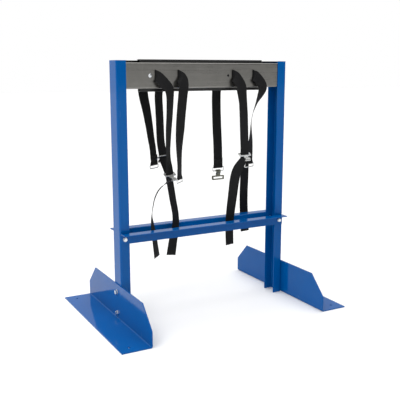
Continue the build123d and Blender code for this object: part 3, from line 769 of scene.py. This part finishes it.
# Cross-section of the webbing: share of the half width, share of the half thickness.
SECTION = [(-1.0, 0.0), (-0.985, 0.75), (-0.93, 1.0), (-0.5, 0.96), (0.0, 0.95), (0.5, 0.96),
           (0.93, 1.0), (0.985, 0.75), (1.0, 0.0), (0.985, -0.75), (0.93, -1.0),
           (0.5, -0.96), (0.0, -0.95), (-0.5, -0.96), (-0.93, -1.0), (-0.985, -0.75)]


def band(name, line, width, thickness):
    """Closed webbing along (middle, width direction, face direction, distance)."""
    vertices, faces, across = [], [], []
    for middle, side, face, distance in line:
        for share, depth in SECTION:
            vertices.append(middle + side * (share * width / 2) + face * (depth * thickness / 2))
            across.append((share * width / 2, distance))
    count = len(SECTION)
    for ring in range(len(line) - 1):
        here, there = ring * count, (ring + 1) * count
        for step in range(count):
            after = (step + 1) % count
            faces.append((here + step, there + step, there + after, here + after))
    faces.append(tuple(range(count)))
    faces.append(tuple(reversed(range(len(vertices) - count, len(vertices)))))
    made = mesh_piece(name, vertices, faces)
    layer = made.data.uv_layers.new(name="webbing")
    for loop in made.data.loops:
        layer.data[loop.index].uv = across[loop.vertex_index]
    return made


def measured(points):
    """Distance along the points from the first to each."""
    total, distances = 0.0, [0.0]
    for start, stop in zip(points, points[1:]):
        total += (stop - start).length
        distances.append(total)
    return distances


def faced(line):
    """The line with the webbing's face direction and distance at each point."""
    middles = [middle for middle, side in line]
    distances = measured(middles)
    result = []
    for index, (middle, side) in enumerate(line):
        before, after = max(index - 1, 0), min(index + 1, len(line) - 1)
        along = (middles[after] - middles[before]).normalized()
        result.append((middle, side, along.cross(side).normalized(), distances[index]))
    return result


def eye_profile(strap):
    """The sewn eye in side view: (towards the frame, up), from the main ply round the wire."""
    round_wire = strap.wire + 0.0005 + strap.thickness / 2
    ply = strap.thickness
    profile = [(0.0, 0.0175), (-0.0008, 0.0125), (-0.0024, 0.0075), (-0.0037, 0.0032)]
    for degrees in range(180, 361, 18):
        turn = radians(degrees)
        profile.append((round_wire * cos(turn), round_wire * sin(turn)))
    profile += [(0.0039, 0.0032), (0.0033, 0.0075), (0.0025, 0.0125), (ply, 0.0175)]
    rest = (0.024, 0.031, 0.038, strap.turned_back)
    return profile + [(ply * 1.02, height) for height in rest]


def eye_frame(name):
    """Origin, width, towards the frame and up at the ring of a short strap."""
    points, widths = stations(name)
    up = Vector((0, 0, 1))
    return points[-1], widths[-1], up.cross(widths[-1]), up


def is_short(name):
    return name.endswith("short")


def build_strap(name):
    strap = settings().straps
    line = webbing_line(name)
    if is_short(name):
        origin, width, inward, up = eye_frame(name)
        line = [(m, s) for m, s in line if (m - origin).dot(up) > 0.022]
        line += [(origin + inward * x + up * y, width) for x, y in eye_profile(strap)]
    made = band(name.replace("strap", "webbing"), faced(line), strap.width, strap.thickness)
    made.data.materials.append(woven("woven webbing", True))
    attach(made, FRAME_BODY)
    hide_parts(name)
    return made


def seam_lines(name, strap):
    """Two rows and a cross of stitches on both faces of a sewn end."""
    origin, width, inward, up = eye_frame(name)
    half, low, high = strap.width * 0.4, 0.0215, strap.turned_back - 0.004
    corners = [(-half, low), (half, low), (half, high), (-half, high)]
    lines = [(corners[a], corners[b]) for a, b in ((0, 1), (1, 2), (2, 3), (3, 0), (0, 2), (1, 3))]
    result = []
    for depth, way in ((-strap.thickness / 2, -1), (strap.thickness * 1.52, 1)):
        for start, stop in lines:
            ends = [origin + width * x + up * y + inward * depth for x, y in (start, stop)]
            result.append((*ends, inward * way))
    return result


# ---------------------------------------------------------------- operators

class STAND_OT_stage(bpy.types.Operator):
    """Sets up the camera, the pale floor and the soft studio light"""
    bl_idname = "stand.stage"
    bl_label = "Stage"

    def execute(self, context):
        stage = settings().stage
        camera = linked("camera", bpy.data.cameras.new("camera"))
        camera.data.lens = stage.lens
        camera.location = stage.eye
        camera.rotation_euler = (pi / 2 - stage.dip, 0, stage.bearing)
        context.scene.camera = camera
        side = stage.floor / 2
        floor = mesh_piece("floor", [(-side, -side, 0), (side, -side, 0), (side, side, 0),
                                     (-side, side, 0)], [(0, 1, 2, 3)])
        floor.data.materials.append(pale_floor())
        self.light("key", (-3.2, -2.4, 3.4), 2.6, 50)
        self.light("front", (-0.4, -4.6, 2.6), 2.0, 18)
        self.sun(1.7)
        self.room(context, stage.surround)
        context.scene.view_settings.view_transform = "Standard"
        return {"FINISHED"}

    def light(self, name, place, size, watts):
        lamp = bpy.data.lights.new(name, "AREA")
        lamp.shape = "DISK"
        lamp.size = size
        lamp.energy = watts
        holder = linked(name, lamp)
        holder.location = place
        aim = Vector((0, 0, 0.6)) - Vector(place)
        holder.rotation_euler = aim.to_track_quat("-Z", "Y").to_euler()

    def sun(self, strength):
        """Even light from straight above, so that the floor is as pale far off as near by."""
        lamp = bpy.data.lights.new("overhead", "SUN")
        lamp.energy = strength
        lamp.angle = radians(80)
        linked("overhead", lamp)

    def room(self, context, strength):
        """White panels behind and to the left, and a dim room in front and to the right."""
        world = bpy.data.worlds.new("white room")
        context.scene.world = world
        world.use_nodes = True
        tree = world.node_tree
        tree.nodes.clear()
        way = put(tree, "ShaderNodeTexCoord").outputs["Generated"]
        bright_side = put(tree, "ShaderNodeVectorMath", {0: way, 1: (-0.55, 0.70, 0.46)},
                          operation="DOT_PRODUCT").outputs["Value"]
        level = ramp(tree, bright_side, -0.35, 0.45, 0.2 * strength, strength)
        lit = put(tree, "ShaderNodeBackground", {"Color": (1, 1, 1, 1), "Strength": level})
        seen = put(tree, "ShaderNodeBackground", {"Color": (1, 1, 1, 1), "Strength": 1.0})
        rays = put(tree, "ShaderNodeLightPath")
        mixed = put(tree, "ShaderNodeMixShader",
                    {0: rays.outputs["Is Camera Ray"], 1: lit.outputs[0], 2: seen.outputs[0]})
        put(tree, "ShaderNodeOutputWorld", {"Surface": mixed.outputs[0]})


class STAND_OT_straps(bpy.types.Operator):
    """Weaves the eight straps along their routes"""
    bl_idname = "stand.straps"
    bl_label = "Straps"

    def execute(self, context):
        for name in ROUTES:
            build_strap(name)
        return {"FINISHED"}


class STAND_OT_sewing(bpy.types.Operator):
    """Sews the turned-back ends of the short straps"""
    bl_idname = "stand.sewing"
    bl_label = "Sewing"

    def execute(self, context):
        strap = settings().straps
        reach = strap.stitch * 0.42
        rise = strap.thread
        body = [(-reach, 0.35), (-reach * 0.7, 0.85), (0.0, 1.0), (reach * 0.7, 0.85),
                (reach, 0.35)]
        rings = []
        for along, swell in body:
            rings.append([Vector((along, rise * swell * cos(2 * pi * k / 6),
                                  rise * swell * sin(2 * pi * k / 6))) for k in range(6)])
        stitch = stacked("stitch", rings)
        seam = [line for name in ROUTES if is_short(name) for line in seam_lines(name, strap)]
        points = [end for start, stop, way in seam for end in (start, stop)]
        mesh = bpy.data.meshes.new("seam")
        mesh.from_pydata(points, [(2 * k, 2 * k + 1) for k in range(len(seam))], [])
        facing = mesh.attributes.new("facing", "FLOAT_VECTOR", "POINT")
        for index, item in enumerate(facing.data):
            item.vector = seam[index // 2][2]
        source = linked("seam", mesh)
        made = made_by(stitch_tree(), "sewing", source, stitch=stitch, pitch=strap.stitch,
                       finish=sewing_thread())
        bpy.data.objects.remove(stitch)
        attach(made, FRAME_BODY)
        return {"FINISHED"}


class STAND_OT_frame(bpy.types.Operator):
    """Finishes the uprights, feet, rails, beams and the box between the beams"""
    bl_idname = "stand.frame"
    bl_label = "Frame"

    def execute(self, context):
        finish = settings().finish
        paint = powder_coat()
        sheet = steel("bare sheet steel", finish.sheet_steel, 0.3, (3, 60, 260))
        dark = steel("dark steel", finish.dark_steel, 0.4, (3, 60, 260))
        coats = {paint: ("left_upright", "right_upright", "left_foot", "right_foot",
                         "front_rail", "rear_rail"),
                 sheet: ("front_beam", "rear_beam"), dark: ("centre_box",),
                 woven("webbing in the beams", False): ("strap_tabs",)}
        for finished, names in coats.items():
            for name in names:
                coat(name, finished)
        return {"FINISHED"}


class STAND_OT_fasteners(bpy.types.Operator):
    """Seats the bolts, screws, nuts and washers"""
    bl_idname = "stand.fasteners"
    bl_label = "Fasteners"

    def execute(self, context):
        zinc = zinc_plate()
        black = steel("blackened steel", (0.02, 0.02, 0.023), 0.42, (300, 300, 300))
        self.foot(zinc)
        self.rail(zinc)
        self.clamps(zinc, black)
        return {"FINISHED"}

    def foot(self, zinc):
        low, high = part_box("foot_washers")
        radius = (high.y - low.y) / 2
        thick = high.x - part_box("right_foot")[0].x - 0.005
        nut_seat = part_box("foot_nuts")[1].x
        heights = (low.z + radius, high.z - radius)
        places = [(side, z) for side in (-1, 1) for z in heights]
        outer = [(Vector((side * high.x, 0, z)), Vector((side, 0, 0))) for side, z in places]
        seat = [(place - way * thick, way) for place, way in outer]
        inner = [(Vector((side * nut_seat, 0, z)), Vector((-side, 0, 0))) for side, z in places]
        fasteners("foot_bolts", hexagon_bolt("m12", 0.018, 0.0075, 0.006, 0.0235, 0.00175),
                  outer, zinc)
        fasteners("foot_washers", washer("m12 washer", 0.012, 0.0065, 0.0025), seat, zinc)
        fasteners("foot_nuts", nut("m12 nut", 0.018, 0.010, 0.0061, 0.00175), inner, zinc, 0.4)

    def rail(self, zinc):
        low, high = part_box("rail_washers")
        radius = (high.z - low.z) / 2
        x, z = high.x - radius, high.z - radius
        nut_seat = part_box("rail_nuts")[1].y
        places = [(across, side) for side in (-1, 1) for across in (-x, x)]
        outer = [(Vector((across, side * high.y, z)), Vector((0, side, 0)))
                 for across, side in places]
        seat = [(place - way * 0.002, way) for place, way in outer]
        inner = [(Vector((across, side * nut_seat, z)), Vector((0, -side, 0)))
                 for across, side in places]
        fasteners("rail_bolts", hexagon_bolt("m10", 0.016, 0.0064, 0.005, 0.020, 0.0015),
                  outer, zinc, 0.7)
        fasteners("rail_washers", washer("m10 washer", 0.010, 0.0055, 0.002), seat, zinc)
        fasteners("rail_nuts", nut("m10 nut", 0.016, 0.008, 0.0051, 0.0015), inner, zinc, 0.5)

    def clamps(self, zinc, black):
        low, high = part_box("clamp_washers")
        washer_radius = 0.012
        outer_x = high.x - washer_radius
        inner_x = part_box("socket_screws")[1].x - 0.0055
        heights = {FRONT: low.z + washer_radius, REAR: high.z - washer_radius}

        def at(columns, y, sign):
            return [(Vector((x, side * y, heights[side])), Vector((0, side * sign, 0)))
                    for side in (FRONT, REAR) for x in columns]

        cup, socket = (-outer_x, outer_x), (-inner_x, inner_x)
        fasteners("cup_screws", domed_screw("m8 cup", 0.0095, 0.0045, 0.004, 0.0155, 0.00125),
                  at(cup, BEAM_FACE, 1), zinc)
        fasteners("cup_nuts", nut("m8 nut", 0.013, 0.0065, 0.0041, 0.00125),
                  at(cup, BEAM_INSIDE, -1), zinc, 0.6)
        fasteners("socket_screws", domed_screw("m6 button", 0.0055, 0.0033, 0.003, 0.014,
                                               0.001, key=0.004),
                  at(socket, BEAM_FACE, 1), black)
        fasteners("socket_nuts", nut("m6 nut", 0.010, 0.005, 0.0031, 0.001),
                  at(socket, BEAM_INSIDE, -1), zinc, 0.8)
        fasteners("clamp_washers", washer("penny washer", washer_radius, 0.0045, 0.002),
                  at(cup + socket, BEAM_INSIDE, 1), zinc)


class STAND_OT_fittings(bpy.types.Operator):
    """Plates the rings and the hook plates"""
    bl_idname = "stand.fittings"
    bl_label = "Fittings"

    def execute(self, context):
        bright = zinc_plate("bright wire", (0.78, 0.78, 0.77), 0.16)
        hook = zinc_plate("plated hook", (0.62, 0.62, 0.60), 0.3)
        # One hook, hook_rear_right, gets a darker and rougher plating than the other hooks.
        darker_rougher_hook = zinc_plate("darker plated hook", (0.22, 0.22, 0.18), 0.42)
        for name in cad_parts:
            if name.startswith("ring"):
                coat(name, bright)
            elif name.startswith("hook"):
                coat(name, darker_rougher_hook if name == "hook_rear_right" else hook)
        return {"FINISHED"}


STEPS = (STAND_OT_stage, STAND_OT_straps, STAND_OT_sewing, STAND_OT_frame,
         STAND_OT_fasteners, STAND_OT_fittings)


class STAND_PT_panel(bpy.types.Panel):
    """Lists the steps that build the stand"""
    bl_label = "Strap stand"
    bl_idname = "STAND_PT_panel"
    bl_space_type = "VIEW_3D"
    bl_region_type = "UI"
    bl_category = "Strap stand"

    def draw(self, context):
        for group in (settings().finish, settings().straps, settings().stage):
            box = self.layout.box()
            for key in group.__annotations__:
                box.prop(group, key)
        for step in STEPS:
            self.layout.operator(step.bl_idname)


class StandSettings(bpy.types.PropertyGroup):
    """Everything that can be set on the stand."""

    finish: bpy.props.PointerProperty(type=FinishSettings)
    straps: bpy.props.PointerProperty(type=StrapSettings)
    stage: bpy.props.PointerProperty(type=StageSettings)


CLASSES = (FinishSettings, StrapSettings, StageSettings, StandSettings, *STEPS, STAND_PT_panel)


def register():
    for made in CLASSES:
        bpy.utils.register_class(made)
    bpy.types.Scene.strap_stand = bpy.props.PointerProperty(type=StandSettings)


def unregister():
    del bpy.types.Scene.strap_stand
    for made in reversed(CLASSES):
        bpy.utils.unregister_class(made)


def main():
    register()
    bpy.ops.stand.stage()
    bpy.ops.stand.straps()
    bpy.ops.stand.sewing()
    bpy.ops.stand.frame()
    bpy.ops.stand.fasteners()
    bpy.ops.stand.fittings()


if __name__ == "__main__":
    main()
